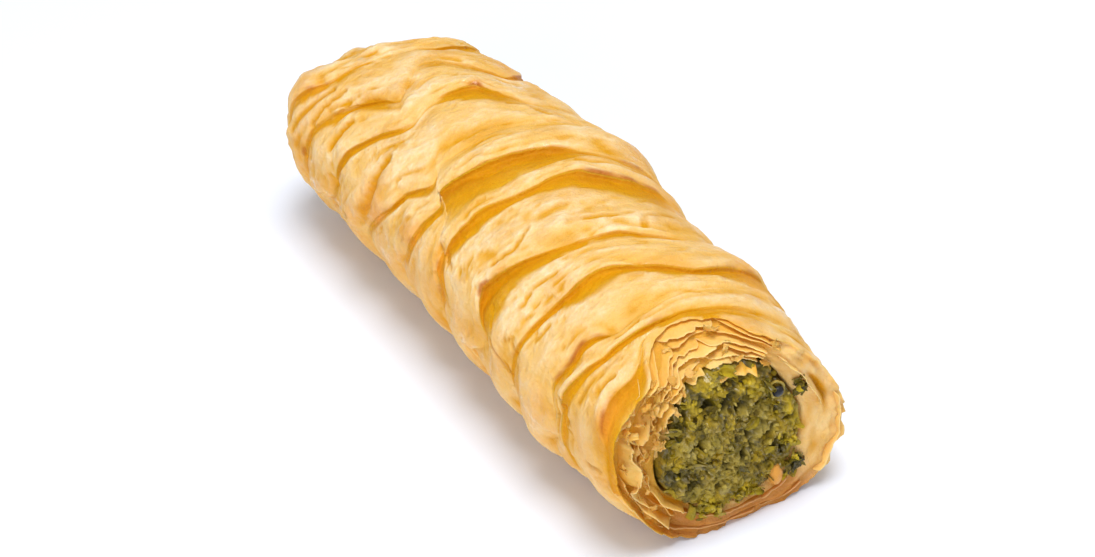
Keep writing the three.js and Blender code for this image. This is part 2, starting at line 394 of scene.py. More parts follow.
def thicken(piece, thickness):
    """Gives a sheet its thickness, half to each side."""
    wall = piece.modifiers.new("thickness", "SOLIDIFY")
    wall.thickness = thickness
    wall.offset = 0
    bpy.ops.object.modifier_apply(modifier="thickness")


def many(piece, count):
    """Joins some copies of a small mesh, and gives back its points copy by copy."""
    copies = piece.modifiers.new("copies", "ARRAY")
    copies.count = count
    copies.use_relative_offset = False
    bpy.ops.object.modifier_apply(modifier="copies")
    return points_of(piece).reshape(count, -1, 3)


def facing(chance, count, lean, ahead=(1, 0, 0)):
    """Some sets of axes whose third axis points ahead, by default along the roll, leaning by chance."""
    up = np.asarray(ahead) + lean * chance.normal(size=(count, 3))
    up /= np.linalg.norm(up, axis=1, keepdims=True)
    side = np.cross(up, chance.normal(size=(count, 3)))
    side /= np.linalg.norm(side, axis=1, keepdims=True)
    return np.stack([side, np.cross(up, side), up], axis=1)


def on_face(chance, count):
    """Places on the filling's face, and how far each is from its middle to its rim."""
    share = np.sqrt(chance.uniform(0, 1, count))
    across, up = hollow_outline(chance.uniform(0, 360, count), FACE_X)
    return HOLLOW_Y + across * share * 0.97, HOLLOW_Z + up * share * 0.97, share


def spilled(chance):
    """Places of the bits that hang over the rim of the filling."""
    spots = [chance.normal((at_y, at_z), spread / 2, (count, 2)) for at_y, at_z, spread, count in SPILLS]
    return np.concatenate(spots).T


def finished_bits(piece, points, **attributes):
    """Puts the points of the copies in place, and gives each copy its own marks."""
    move_points(piece, points)
    for key, values in attributes.items():
        mark(piece, key, np.repeat(values, points.shape[1]))
    smooth_and_release()


def joined(name, pieces):
    """The pieces as one, under a new name."""
    for piece in pieces:
        piece.select_set(True)
    bpy.context.view_layer.objects.active = pieces[0]
    bpy.ops.object.join()
    bpy.ops.object.select_all(action="DESELECT")
    pieces[0].name = pieces[0].data.name = name
    return pieces[0]


def ingredients(chance, y, z):
    """How much each bit is dark leaf, young leaf and feta: by where on the face it lies, and by chance."""
    count = len(y)
    dark = np.clip(zones(y, z, DARK_ZONES, 80) + chance.normal(0.1, 0.35, count), 0, 1)
    yellow = np.clip(zones(y, z, YELLOW_ZONES, 82) + chance.normal(0, 0.35, count), 0, 1)
    feta = np.clip(zones(y, z, FETA_ZONES, 84) + chance.normal(-0.1, 0.4, count), 0, 1)
    return dark, yellow, feta


chance = np.random.default_rng(21)
bpy.ops.mesh.primitive_ico_sphere_add(subdivisions=2, radius=1)
crumbs = bpy.context.object
ball = many(crumbs, CRUMBS)
y, z, share = on_face(chance, CRUMBS)
dark, yellow, feta = ingredients(chance, y, z)
size = chance.uniform(*CRUMB_SIZES, CRUMBS)[:, None, None] * chance.uniform(0.55, 1.3, (CRUMBS, 1, 3))
numbers = np.arange(CRUMBS)[:, None]
lumpy = 1 + 0.45 * noise(ball[..., 0] * 1.3, ball[..., 1] * 1.3 + numbers * 7, ball[..., 2] * 1.3, 90)
lumpy += 0.25 * noise(ball[..., 0] * 3, ball[..., 1] * 3 + numbers * 7, ball[..., 2] * 3, 91)
points = (ball * lumpy[..., None] * size) @ facing(chance, CRUMBS, 1.0)
x = face_x(y, z, share) + chance.uniform(*CRUMB_DEPTHS, CRUMBS) - 0.25 * feta
middles = np.stack([x, y, z], axis=-1)
cheesy = chance.uniform(0, 1, CRUMBS) < FETA_CRUMB_SHARE
dark, yellow, feta = dark * ~cheesy, yellow * ~cheesy, np.where(cheesy, 1.5, feta)
points[cheesy] *= FETA_CRUMB_SIZE
finished_bits(crumbs, points + middles[:, None], dark=0.6 * dark, yellow=yellow, feta=feta)

bpy.ops.mesh.primitive_grid_add(x_subdivisions=9, y_subdivisions=5, size=2)
shreds = bpy.context.object
thicken(shreds, SHRED_THICKNESS)
spill_y, spill_z = spilled(chance)
count = SHREDS + len(spill_y)
flat = many(shreds, count)
y, z, share = on_face(chance, count)
y[: len(spill_y)], z[: len(spill_y)], share[: len(spill_y)] = spill_y, spill_z, 0.9
dark, yellow, feta = ingredients(chance, y, z)
length = chance.uniform(*SHRED_LENGTHS, count)[:, None]
width = length * chance.uniform(0.25, 0.8, (count, 1))
numbers = np.arange(count)[:, None]
u, v, w = flat[..., 0], flat[..., 1], flat[..., 2]
narrow = 1 - 0.75 * np.abs(u) ** 2.5 + 0.25 * noise(u * 2.5, numbers * 5, v, 92)
bend = chance.normal(0, 0.8, (count, 1)) * u**2 + chance.normal(0, 0.9, (count, 1)) * v**2
crinkle = 0.4 * noise(u * 2.2, v * 2.2 + numbers * 5, 0, 93)
points = np.stack([u * length, v * width * narrow, w * 0.9 + (bend + crinkle) * width], axis=-1)
points = points @ facing(chance, count, 0.7)
middles = np.stack([face_x(y, z, share) + chance.uniform(-0.3, 0.3, count), y, z], axis=-1)
finished_bits(shreds, points + middles[:, None], dark=dark, yellow=yellow, feta=0.4 * feta)

bpy.ops.mesh.primitive_uv_sphere_add(segments=24, ring_count=14, radius=SEED_RADIUS * MM)
seed = bpy.context.object
seed.scale = (0.7, 1, 0.9)
outer, inner = SEED_RING_RADII
bpy.ops.mesh.primitive_torus_add(major_radius=outer * MM, minor_radius=inner * MM)
seed_ring = bpy.context.object
seed_ring.rotation_euler = (0, math.radians(80), 0)
bpy.ops.mesh.primitive_ico_sphere_add(subdivisions=3, radius=CARROT_RADIUS * MM)
carrot = bpy.context.object
carrot.scale = (0.7, 0.75, 1.3)
bpy.ops.object.select_all(action="DESELECT")
for piece, place, key in (
    (seed, SEED_PLACE, "seed"),
    (seed_ring, SEED_RING_PLACE, "feta"),
    (carrot, CARROT_PLACE, "orange"),
):
    piece.select_set(True)
    bpy.context.view_layer.objects.active = piece
    piece.location = Vector(place) * MM
    bpy.ops.object.transform_apply(location=True, rotation=True, scale=True)
    smooth_and_release()
    mark(piece, key, np.ones(len(piece.data.vertices)))
spots = points_of(seed_ring) / MM
uneven = [noise(spots[:, 1] / 1.1, spots[:, 2] / 1.1, 0, pattern) for pattern in (96, 97, 98)]
move_points(seed_ring, spots + 0.35 * np.stack(uneven, axis=-1))

bits = joined("filling_bits", [crumbs, shreds, seed, seed_ring, carrot])
bits.data.materials.append(greens.material)
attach(bits, "root")

# ------------------------------------------------------------------------------------------ pastry
# Thin sheets rolled round the filling and gathered into pleats, then baked golden. The outer sheet's free
# edge winds along the near side as a seam, and the closed end is tucked in. The roll has settled flat on
# its underside. Its skin, the cut of its wall and its hollow are one closed tube of rings.

HALF_LENGTH = 71.0
HALF_WIDTH = 23.0
CENTRE_HEIGHT = 18.2
HEIGHT_ABOVE_CENTRE = 18.3
HEIGHT_BELOW_CENTRE = 19.4
LOWEST_CURVE = 0.35  # under this height the skin flattens out
END_ROUNDING = 17.0
END_START = END_ROUNDING - HALF_LENGTH
SHEET_STEP = 0.16  # how much the roll widens in one turn
SKIN_COLUMNS = 264
SKIN_ROW_STEP = 0.47
LEAST_PLEAT = 0.8  # between one lip and the next
LIP_ROW_REACH = 3  # in columns: how far a lip's line is smoothed
BELLY = 0.075  # how far a ruffle stands out, for each millimetre of its length
ARC = 21 * math.pi / 180  # millimetres of skin to a degree
SMOOTHING_REACH = 7  # in steps of the skin's grid
MOUTH_X = 66  # where the rim and the hollow's opening are measured round the roll

# Where the outer sheet's free edge lies, as (x, angle).
SEAM_X, SEAM_ANGLE = np.array(
    [(-71, -14), (-50, -8), (-43, -2), (-38, 0), (-30, 9), (-24, 16), (-20, 19), (-10, 30), (-5, 37)]
    + [(2, 42), (5, 55), (10, 63), (24, 80), (36, 92), (45, 96), (71, 104)]
).T

# Slow bulges past the plain oval, as (x, millimetres): along the far upper side, along the near lower side
# and where the rim flares out at the far underside. BULGES gives each one's angle and spread in degrees.
UPPER_BULGE = [
    (-60, -0.4), (-45, 0.4), (-30, 1.7), (-10, 3.0), (0, 4.3), (10, 2.8), (20, 0.9), (35, 0.2), (45, 1.2),
    (55, -0.6), (65, -2.3), (71, -3.2),
]
LOWER_BULGE = [(-60, -0.4), (0, -0.3), (20, 0.4), (35, 0.9), (42, 1.5), (50, 0.85), (60, 0)]
RIM_FLARE = [(56, 0), (71, 2.8)]
BULGES = [(-60, 55, UPPER_BULGE), (116, 45, LOWER_BULGE), (-125, 28, RIM_FLARE)]

# Each pleat's lip faces the cut and hangs over a valley. Its points are (angle, x, depth, valley width,
# browning): over, on the outer sheet, and under, on the layer that the seam leaves bare.
PLEATS = [
    {
        "over": [
            (-60, -56, 0.4, 4, 0.3), (-35, -50, 1.0, 4, 0.6), (-20, -48.5, 0.9, 3, 0.2),
            (-10, -51, 0.2, 3, 0),
        ],
        "under": [
            (34, -53, 0.6, 2, 0.6), (44, -56, 0.9, 2.5, 0.8), (60, -59, 0.6, 2, 0.5),
            (100, -60, 0.3, 3, 0.2),
        ],
    },
    {
        "over": [
            (-60, -40, 0.9, 4, 1), (-45, -33.5, 1.0, 3, 1), (-35, -31.5, 0.8, 2.5, 0.7),
            (-24, -37, 0.6, 3, 0.1), (-12, -42, 0.6, 3, 0), (-1, -43, 0.5, 3, 0),
        ],
        "under": [
            (18, -34, 0.5, 4, 0), (27, -39.5, 0.9, 3.5, 0.8), (40, -44, 0.7, 2.5, 0.3),
            (60, -49, 0.7, 2, 0.3), (76, -51, 0.9, 2.5, 0.8), (110, -54, 0.3, 3, 0.2),
        ],
    },
    {
        "over": [
            (-60, -13, 0.3, 3, 0.2), (-40, -14, 0.3, 3, 0), (-27, -17, 0.5, 3, 0.1), (-20, -23, 0.8, 7, 0),
            (-15, -28, 1.3, 6.5, 1), (-6, -28.4, 1.3, 4, 0.3), (0, -28.5, 0.8, 2.5, 0),
            (6, -28.5, 0.3, 1.5, 0),
        ],
        "under": [
            (22, -26, 0.5, 1.6, 0), (30, -27.3, 0.9, 1.5, 0.5), (38, -30, 1.0, 1.5, 0.6),
            (53, -33.8, 1.1, 1.8, 0.3), (66, -35.6, 1.0, 2, 0.5), (80, -37.5, 0.8, 2, 0.6),
            (95, -40, 0.6, 3, 0.3), (112, -50, 0.3, 4, 0),
        ],
    },
    {
        "over": [(-60, -5, 0.15, 3, 0), (0, -10, 0.15, 3, 0), (24, -10, 0.1, 3, 0)],
        "under": [
            (30, -5.8, 0.7, 2, 0), (40, -8, 0.9, 2.5, 0.1), (50, -12.3, 0.9, 1.5, 0.5),
            (62, -14, 1.0, 1.5, 0.5), (75, -19, 0.9, 1.8, 0.6), (88, -23, 0.6, 2, 0.3),
            (100, -26, 0.4, 3, 0.2),
        ],
    },
    {
        "over": [
            (-60, 11, 0.6, 4, 0.4), (-43, 10, 0.7, 3, 0.9), (-30, 6.5, 0.5, 3, 0.2), (-21, 4.5, 0.9, 4, 0),
            (-14, 2.5, 1.3, 5, 0), (-6, 1, 1.6, 6.5, 0), (5, -0.5, 1.9, 8, 0), (15, -1.5, 2.0, 8.5, 0),
            (25, -2.7, 2.2, 9, 0.2), (33, -3.8, 2.2, 9, 0.5), (37, -4.5, 2.0, 8.5, 0.7),
        ],
        "under": [
            (41, -1, 1.0, 2, 0.1), (55, -3, 1.2, 2, 0.2), (66, -4, 1.1, 1.8, 0.8),
            (80, -6.5, 0.6, 1.5, 0.4), (100, -11, 0.2, 3, 0),
        ],
    },
    {
        "over": [
            (-60, 20, 0.3, 6, 0.3), (-45, 17.5, 1.0, 7, 0.8), (-30, 15.5, 1.5, 6.5, 1),
            (-20, 13.5, 1.5, 5.5, 0.9), (-12, 11.5, 1.4, 4.5, 0.7), (-3, 10.8, 1.2, 4, 0.1),
            (4, 11, 1.0, 2.2, 0), (15, 10.5, 1.0, 1.8, 0), (24, 9, 1.2, 3, 0.3), (31, 7.9, 1.5, 3.6, 0.3),
            (42, 7.4, 1.5, 3.8, 0.4), (52, 7.2, 1.2, 3.5, 0.5),
        ],
        "under": [
            (57, 6, 0.8, 4, 0.3), (66, 7, 1.0, 3.5, 0.7), (76, 8.5, 0.9, 3, 0.8), (100, 6, 0.3, 3, 0),
        ],
    },
    {
        "over": [
            (-60, 34, 0.2, 3, 0), (-30, 37.5, 0.4, 3, 0), (-17, 35, 0.7, 2.4, 0.1), (-8, 32, 0.8, 2.5, 0),
            (5, 30.5, 0.7, 2, 0), (18, 29.3, 0.8, 2, 0), (27, 27.6, 1.3, 3.5, 0.1),
            (38, 25.3, 1.8, 4.8, 0.2), (48, 23.3, 2.0, 6.5, 0.6), (56, 22.3, 2.0, 8, 1),
            (63, 23.1, 1.8, 6.5, 0.8), (71, 24.9, 1.4, 4.2, 0.6), (77, 26, 0.6, 2, 0.4),
        ],
        "under": [(90, 24, 0.4, 3, 0.4), (100, 19, 0.4, 3, 0.2)],
    },
    {
        "over": [
            (-60, 46.5, 1.0, 8, 0.7), (-50, 47.5, 1.4, 6, 0.8), (-38, 48.2, 1.3, 4.5, 0.5),
            (-26, 49, 1.1, 2.8, 0.3), (-18, 49, 1.0, 2.2, 0.2), (-12, 46.8, 1.2, 4, 0.1),
            (-5, 44.6, 1.1, 3.2, 0), (2, 43, 1.0, 2.2, 0), (9, 40.6, 1.5, 3.8, 0),
            (17, 39.8, 1.9, 4.8, 0.1), (26, 39.5, 1.9, 5, 0.2), (34, 39.8, 1.4, 3.2, 0.2),
            (41, 39.4, 1.0, 1.8, 0.2), (52, 38.8, 0.9, 1.3, 0.1), (62, 38, 0.8, 1.3, 0.3),
            (74, 36.8, 0.7, 2, 0.6),
        ],
        "under": [(105, 36, 0.4, 3, 0.2)],
    },
    {
        "over": [
            (-50, 55, 0.2, 2, 0), (0, 54, 0.2, 2, 0), (29, 55.5, 0.5, 1.5, 0.5), (35, 52.8, 1.0, 1.6, 0.9),
            (42, 51.6, 1.1, 1.8, 1), (50, 52.3, 1.0, 1.8, 1), (58, 51.4, 1.0, 2, 0.9),
            (68, 50, 0.7, 2, 0.5), (78, 51.5, 0.5, 2, 0.5),
        ],
        "under": [(110, 47, 0.2, 2, 0)],
    },
    {
        "over": [
            (-50, 62.5, 0.4, 3, 0.2), (-8, 59.5, 0.8, 3, 0), (0, 58.3, 1.0, 2, 0.4),
            (9, 58.4, 1.1, 1.6, 0.7), (25, 57.6, 1.1, 1.6, 0.7), (40, 57.3, 0.9, 1.5, 0.4),
            (52, 55.8, 0.9, 2, 0.4), (66, 54, 1.0, 2.5, 0.4), (80, 53.6, 0.9, 2.5, 0.5),
        ],
        "under": [(98, 54, 0.8, 3, 0.5), (116, 55, 0.5, 3, 0)],
    },
    {
        "over": [
            (-40, 66, 0.1, 2, 0), (-15, 61, 0.1, 2, 0), (10, 59.4, 0.1, 2, 0), (24, 60.3, 0.2, 3, 0),
            (31, 64, 0.5, 4, 0), (38, 65.6, 1.2, 5, 0.2), (50, 64.7, 1.7, 6, 0.7), (60, 66.3, 1.6, 5, 1),
            (72, 68.4, 0.9, 3, 0.6),
        ],
        "under": [(112, 69, 0.2, 2, 0)],
    },
]

# How much shorter the closed end is than a plain dome: (angle, spread in degrees, millimetres).
LEAN = [(-30, 32, 6.0), (15, 18, 0.8), (84, 30, -2.8)]
# Swellings and dents: (angle, x, spread in degrees, spread in x, height).
SWELLINGS = [
    (66, -22.5, 14, 2.6, -0.8), (62, 6, 8, 3, -0.6), (48, -43, 8, 3, -0.4), (5, -36, 7, 3, -0.35),
    (48, -60, 15, 4, 1.6), (16, -59, 9, 5, -0.9), (-10, -63, 26, 8, -1.1), (26, -64, 6, 5, -1.0),
    (44, -66, 10, 4, 0.7), (78, -57, 9, 4, 0.8), (70, -44, 12, 3.5, 0.6), (88, -30, 10, 3.5, 0.7),
    (52, -36, 9, 2.5, 0.4), (95, 20, 9, 6, 0.5), (80, 45, 9, 5, 0.5), (60, -10, 12, 2.2, -0.5),
    (-30, 30, 15, 4, 0.4), (15, 24, 14, 3, 0.4),
]
# Small folds: (depth, half width, amber, browning, points along it as (angle, x)).
FOLDS = [
    (0.5, 0.7, 0.6, 0.3, [(37, -50), (50, -52), (60, -54), (70, -55)]),
    (0.4, 0.6, 0.6, 0.2, [(33, -46.5), (45, -48.3), (58, -49.5)]),
    (0.35, 0.6, 0.5, 0.0, [(30, -43), (37, -44), (45, -46.5)]),
    (0.5, 0.7, 0.5, 0.6, [(42, -39), (52, -39.3), (60, -39.6)]),
    (0.6, 1.1, 0.9, 0.8, [(44, -21.5), (58, -21.5), (70, -22), (78, -24)]),
    (0.4, 0.6, 0.1, 0.6, [(56, 4.5), (58, 8), (60, 11.5)]),
    (0.45, 0.6, 0.3, 0.9, [(67, 9), (72, 10), (77, 11.5)]),
    (0.3, 0.5, 0.2, 0.7, [(74, 30), (79, 34), (84, 37)]),
    (0.3, 0.5, 0.2, 0.6, [(68, 34), (64, 36), (70, 37.5)]),
    (0.35, 0.5, 0.3, 0.0, [(28, 34.5), (40, 33.6), (52, 34)]),
    (0.3, 0.45, 0.3, 0.0, [(36, 43), (46, 42.6), (56, 42)]),
    (0.3, 0.45, 0.2, 0.3, [(35, 60), (46, 59.6), (58, 58.6), (64, 58.8)]),
    (0.3, 0.45, 0.2, 0.3, [(42, 62.5), (52, 61.8), (63, 62.2)]),
    (0.4, 0.5, 0.2, 0.6, [(70, 53), (75, 54.6), (82, 55.6)]),
    (0.3, 0.5, 0.3, 0.2, [(22, 21), (32, 22.6), (44, 21.5)]),
    (0.3, 0.5, 0.4, 0.0, [(-18, 28), (-5, 26.5), (8, 25)]),
    (0.3, 0.5, 0.4, 0.1, [(-36, 30), (-22, 29.5), (-18, 33)]),
    (0.25, 0.4, 0.3, 0.0, [(60, 27), (70, 30), (76, 30.5)]),
    (0.4, 0.6, 0.4, 0.7, [(92, -33), (90, -31), (88, -29.5)]),
    (0.3, 0.5, 0.5, 0.0, [(-28, -10), (-24, -15), (-18, -17.5)]),
    (0.5, 0.5, 0.0, 1.0, [(91, 63), (90, 65), (90, 66.5)]),
]
# Paler, blistered patches: (angle, x, spread in degrees, spread in x, strength).
PALE_PATCHES = [
    (28, 15.5, 24, 5, 1), (40, 31, 19, 4, 0.8), (30, -20, 15, 5, 0.9), (5, -36, 8, 4, 1),
    (-2, 24, 18, 6, 0.7), (60, -36, 14, 5, 0.5), (12, -52, 14, 5, 0.6), (55, 18, 10, 8, 0.6),
    (-15, 30, 20, 3, 0.5), (62, -8, 10, 4, 0.6), (34, 35, 22, 7, 0.6), (42, 44, 14, 5, 0.6),
    (32, -13, 8, 3, 0.8), (42, -25, 10, 3, 0.8), (-25, -22, 20, 14, 0.35), (-38, 0, 18, 8, 0.3),
    (43, 35, 8, 4, 0.5), (43, 23, 7, 3, 0.4), (43, -26, 8, 4, 0.4), (46, -58, 10, 5, 0.4),
    (92, 8, 8, 6, 0.5), (-18, -38, 9, 4, 0.8), (30, 64, 16, 4, 0.5), (44, -44, 8, 4, 0.5),
    (48, -54, 10, 3, 0.4),
]
# Amber patches, where the sheet is thin and buttery.
AMBER_PATCHES = [
    (-20, 66, 14, 4, 0.5), (28, -39.5, 5, 3, 0.8), (77, -52, 5, 3, 0.8), (70, 67, 12, 3, 0.9),
    (-14, -24, 10, 6, 0.15), (-35, 24, 18, 8, 0.15), (20, -47, 9, 3, 0.5), (66, 29, 8, 4, 0.4),
    (66, -6, 8, 3, 0.5), (-42, -39, 8, 4, 0.6), (58, -20, 13, 2.5, 0.6), (-30, -45, 14, 5, 0.4),
    (-6, 17, 12, 3, 0.4), (30, 17, 8, 2.5, 0.4), (22, 43, 10, 2.5, 0.5),
]
# Toasted patches, orange going on brown.
TOASTED_PATCHES = [
    (48, -62, 16, 5, 0.4), (67, -20, 12, 5, 0.9), (64, -4, 8, 4, 0.6), (68, 6, 12, 4, 0.4),
    (-14.5, -28.3, 4, 1, 1), (60, -50, 20, 5, 0.35), (-55, 10, 12, 22, 0.5), (-50, 50, 12, 10, 0.5),
    (95, -20, 16, 40, 0.12), (60, 67, 20, 2, 0.5), (42, -55, 6, 3, 0.4), (-45, -35, 10, 9, 0.5),
]


def seam_angle(x):
    return np.interp(x, SEAM_X, SEAM_ANGLE)


def shown(angle):
    """The same angle, from -180 to 180."""
    return (angle + 180) % 360 - 180


def read_off(line, at):
    """The value of a line of points at some places along it."""
    return np.interp(at, *np.array(line, float).T)


def bulge_at(x, angle):
    """How far the roll stands out past its plain oval."""
    total = np.zeros(np.broadcast(x, angle).shape)
    for middle, spread, line in BULGES:
        total = total + read_off(line, x) * hill(shown(angle - middle), spread)
    return total


def skin_turns():
    """How far round each column of the skin is from the seam, closer together beside the seam."""
    share = np.linspace(0, 1, SKIN_COLUMNS)
    return 360 * (share - 0.5 * np.sin(2 * np.pi * share) / (2 * np.pi))


def patches(table):
    """The summed strengths of soft oval patches over the skin."""
    total = np.zeros(along.shape)
    for patch_angle, patch_x, spread_angle, spread_x, strength in table:
        away = ((shown_angle - patch_angle) / spread_angle) ** 2 + ((along - patch_x) / spread_x) ** 2
        total += strength * np.exp(-(away**1.4))
    return total


def distance_to(points):
    """How far each place on the skin is from a line drawn on it, in millimetres."""
    nearest = np.full(along.shape, np.inf)
    for (first_angle, first_x), (second_angle, second_x) in zip(points, points[1:]):
        run, climb = second_x - first_x, (second_angle - first_angle) * ARC
        ahead, across = along - first_x, arc - first_angle * ARC
        share = np.clip((ahead * run + across * climb) / (run * run + climb * climb), 0, 1)
        nearest = np.minimum(nearest, np.hypot(ahead - share * run, across - share * climb))
    return nearest


def layered(x, y, seed, octaves=3):
    """Noise with finer and finer noise added."""
    return sum(noise(x * 2**k, y * 2**k, 0.4 * k, seed + k) / 2**k for k in range(octaves))


def thin_lines(x, y, seed, width):
    """1 along wandering thin lines, 0 away from them."""
    return hill(layered(x, y, seed, 2), width)


def soft_window(reach):
    """Weights that fall off to both sides and add up to 1."""
    window = np.hanning(2 * reach + 3)[1:-1]
    return window / window.sum()


def softened(values, reach):
    """Each value averaged with its neighbours on the grid, up to some steps away."""
    window = soft_window(reach)
    for axis in (0, 1):
        padding = [(0, 0), (0, 0)]
        padding[axis] = (reach, reach)
        padded = np.pad(values, padding, mode="edge")
        values = np.apply_along_axis(np.convolve, axis, padded, window, "valid")
    return values


def evened(grid, reach):
    """Each point averaged with its neighbours round the roll, up to some columns away."""
    window = soft_window(reach)
    wrapped = np.concatenate([grid[:, -1 - reach : -1], grid, grid[:, 1 : 1 + reach]], axis=1)
    return sum(weight * wrapped[:, step : step + grid.shape[1]] for step, weight in enumerate(window))


def pleat_lines(turns):
    """Each pleat's x, depth, valley width and browning at every column."""
    lines = []
    for pleat in PLEATS:
        points = [(angle - seam_angle(x), x, *rest) for angle, x, *rest in pleat["under"]]
        points += [(angle + 360 - seam_angle(x), x, *rest) for angle, x, *rest in pleat["over"]]
        points.sort()
        free_edge = points[-1]
        points = [(0, free_edge[1], 0, free_edge[3], 0)] + points
        table = np.array(points, float)
        line = np.array([np.interp(turns, table[:, 0], column) for column in table[:, 1:].T])
        padded = np.pad(line, ((0, 0), (LIP_ROW_REACH, LIP_ROW_REACH)), mode="edge")
        line = np.array([np.convolve(values, soft_window(LIP_ROW_REACH), "valid") for values in padded])
        line[0, 0] = line[0, -1]
        lines.append(line)
    return lines


CUT_X = 70.1
# How much of the wall has broken away at the cut, from none to 1, as (angle, share).
BROKEN_BACK = [(-28, 0), (-16, 0.42), (-10, 0.85), (5, 1), (22, 0.92), (28, 0.48), (33, 0.12), (45, 0)]


def cut_x(angle, outward):
    """The cut end's x across the wall: outward is 0 at the filling and 1 at the skin."""
    broken = read_off(BROKEN_BACK, angle)
    near_side = smoothstep(35, 55, angle) * smoothstep(160, 135, angle)
    far_side = smoothstep(-20, -45, angle) + smoothstep(150, 170, angle)
    across = np.sin(np.pi * outward)
    standing = 1.1 * far_side * across**0.7 - 0.9 * near_side * across
    return CUT_X - broken * (0.6 + 9 * outward**1.1) + standing


def rim_x(angle):
    """Where the outer sheet stops, with its ragged edge."""
    ragged = 0.9 * noise(angle * ARC / 3, 0, 0, 11) + 0.5 * noise(angle * ARC / 1.1, 0, 0, 12)
    more = 0.6 * read_off(BROKEN_BACK, angle) + 0.8 * hill(angle + 122, 20)
    return cut_x(angle, 1) + ragged * (1 + more)


turns = skin_turns()
lines = pleat_lines(turns)
end_length = END_ROUNDING * math.pi / 2
rim_angle = shown(seam_angle(MOUTH_X) + turns)
stations = [np.full(SKIN_COLUMNS, END_START - end_length * 0.985)]
stations += [line[0] for line in lines]
stations += [rim_x(rim_angle)]
for before, after in zip(stations, stations[1:]):
    after[:] = np.maximum(after, before + LEAST_PLEAT)

# Rows of the skin crowd together at the lips, so that a lip stays sharp.
blocks = []
bellies = []
mean_places = []
for before, after in zip(stations, stations[1:]):
    count = max(4, round(float(np.mean(after - before)) / SKIN_ROW_STEP))
    share = np.arange(count) / count
    share = share - 0.8 * np.sin(2 * np.pi * share) / (2 * np.pi)
    blocks.append(before + (after - before) * share[:, None])
    mean_places.append(np.mean(before) + np.mean(after - before) * share)
    bellies.append(np.sin(np.pi * share[:, None] ** 1.3) * np.clip(after - before, 0, 11) * BELLY)
along = np.concatenate(blocks + [stations[-1][None]])
belly = np.concatenate(bellies + [np.zeros((1, SKIN_COLUMNS))])
turn = np.broadcast_to(turns, along.shape)
angle = seam_angle(along) + turn
shown_angle = shown(angle)
arc = shown_angle * ARC
from_floor = smoothstep(28, 62, np.abs(180 - angle % 360))
# Wrinkles run along the pleats: this is each row's own place, the same all the way round.
follow = np.concatenate(mean_places + [[np.mean(stations[-1])]])[:, None] + np.zeros(along.shape)
follow += 0.8 * noise(along / 6, arc / 7, 0, 30)

relief, slide, valley, browned = np.zeros((4, *along.shape))
lit_through, near_lip, under_lip, far_from_lip = np.zeros((4, *along.shape))
# Towards the cut, each pleat rises to a crest, drops like a cliff at its lip and leaves a valley past it.
for number, (lip, depth, width, browning) in enumerate(lines):
    past = along - lip
    depth = depth * (1 + 0.25 * noise(arc / 4, 0, number, 21))
    crest = 0.4 * depth * hill(past, 1.2 + 0.5 * width)
    crest -= 0.12 * depth * smoothstep(-0.8, 0, past)
    floor = -0.6 * depth * (1 - smoothstep(0.3 * width, 1.3 * width, past))
    cliff = smoothstep(-0.22, 0.3, past)
    relief += crest * (1 - cliff) + floor * cliff
    slide += 0.08 * depth * hill(past + 0.2, 0.25)
    ragged = 0.12 * width * noise(arc / 3.3, 0, number, 23)
    in_valley = smoothstep(-0.3, -0.05, past) * (1 - smoothstep(0.6 * width, 1.05 * width, past + ragged))
    # Each valley is painted amber: painted shade under the sheet, with painted light seen through it.
    valley += in_valley * smoothstep(0.15, 1.0, depth)
    spotty = smoothstep(-0.3, 0.4, noise(arc / 3.1, 0, number, 22) + 2 * browning - 1.5)
    browned += browning * spotty * hill(past + 0.3, 0.33)
    just_past = smoothstep(-0.3, -0.05, past) * (1 - smoothstep(0.1, 1.1, past))
    lit_through += np.clip(depth, 0, 1.5) / 1.5 * just_past
    near_lip += depth * hill(past, 4)
    deepness = smoothstep(0.3, 1.5, depth)
    # Close under the lip of a deep pleat the valley is painted dark orange-brown: painted shade. Further from
    # the lip it is painted yellower: painted light.
    sheltered = smoothstep(-0.3, 0.0, past) * (1 - smoothstep(0.1 * width, 0.55 * width, past + ragged))
    under_lip += deepness * sheltered
    far_from_lip += deepness * smoothstep(0.45 * width, 0.95 * width, past + ragged) * in_valley

for depth, half_width, amber, browning, points in FOLDS:
    away = distance_to(points) * (1 + 0.35 * noise(along / 2, arc / 2, 0, 24))
    relief += depth * (0.4 * hill(away - 1.8 * half_width, half_width) - hill(away, half_width))
    # Each fold's groove is painted amber: painted shade.
    valley += amber * hill(away, half_width)
    browned += 0.7 * browning * hill(away, 0.5 * half_width)

# Beside the seam some rows lean far along the roll. They carry less relief there, so that it doesn't fold
# over.
from_seam = np.minimum(turn, 360 - turn)
lean = np.gradient(along, axis=1) / (np.gradient(turns) * ARC)
leaning = hill(from_seam, 16) * lean**2 / (0.4 + lean**2)
relief *= 1 - 0.85 * leaning
slide *= 1 - leaning

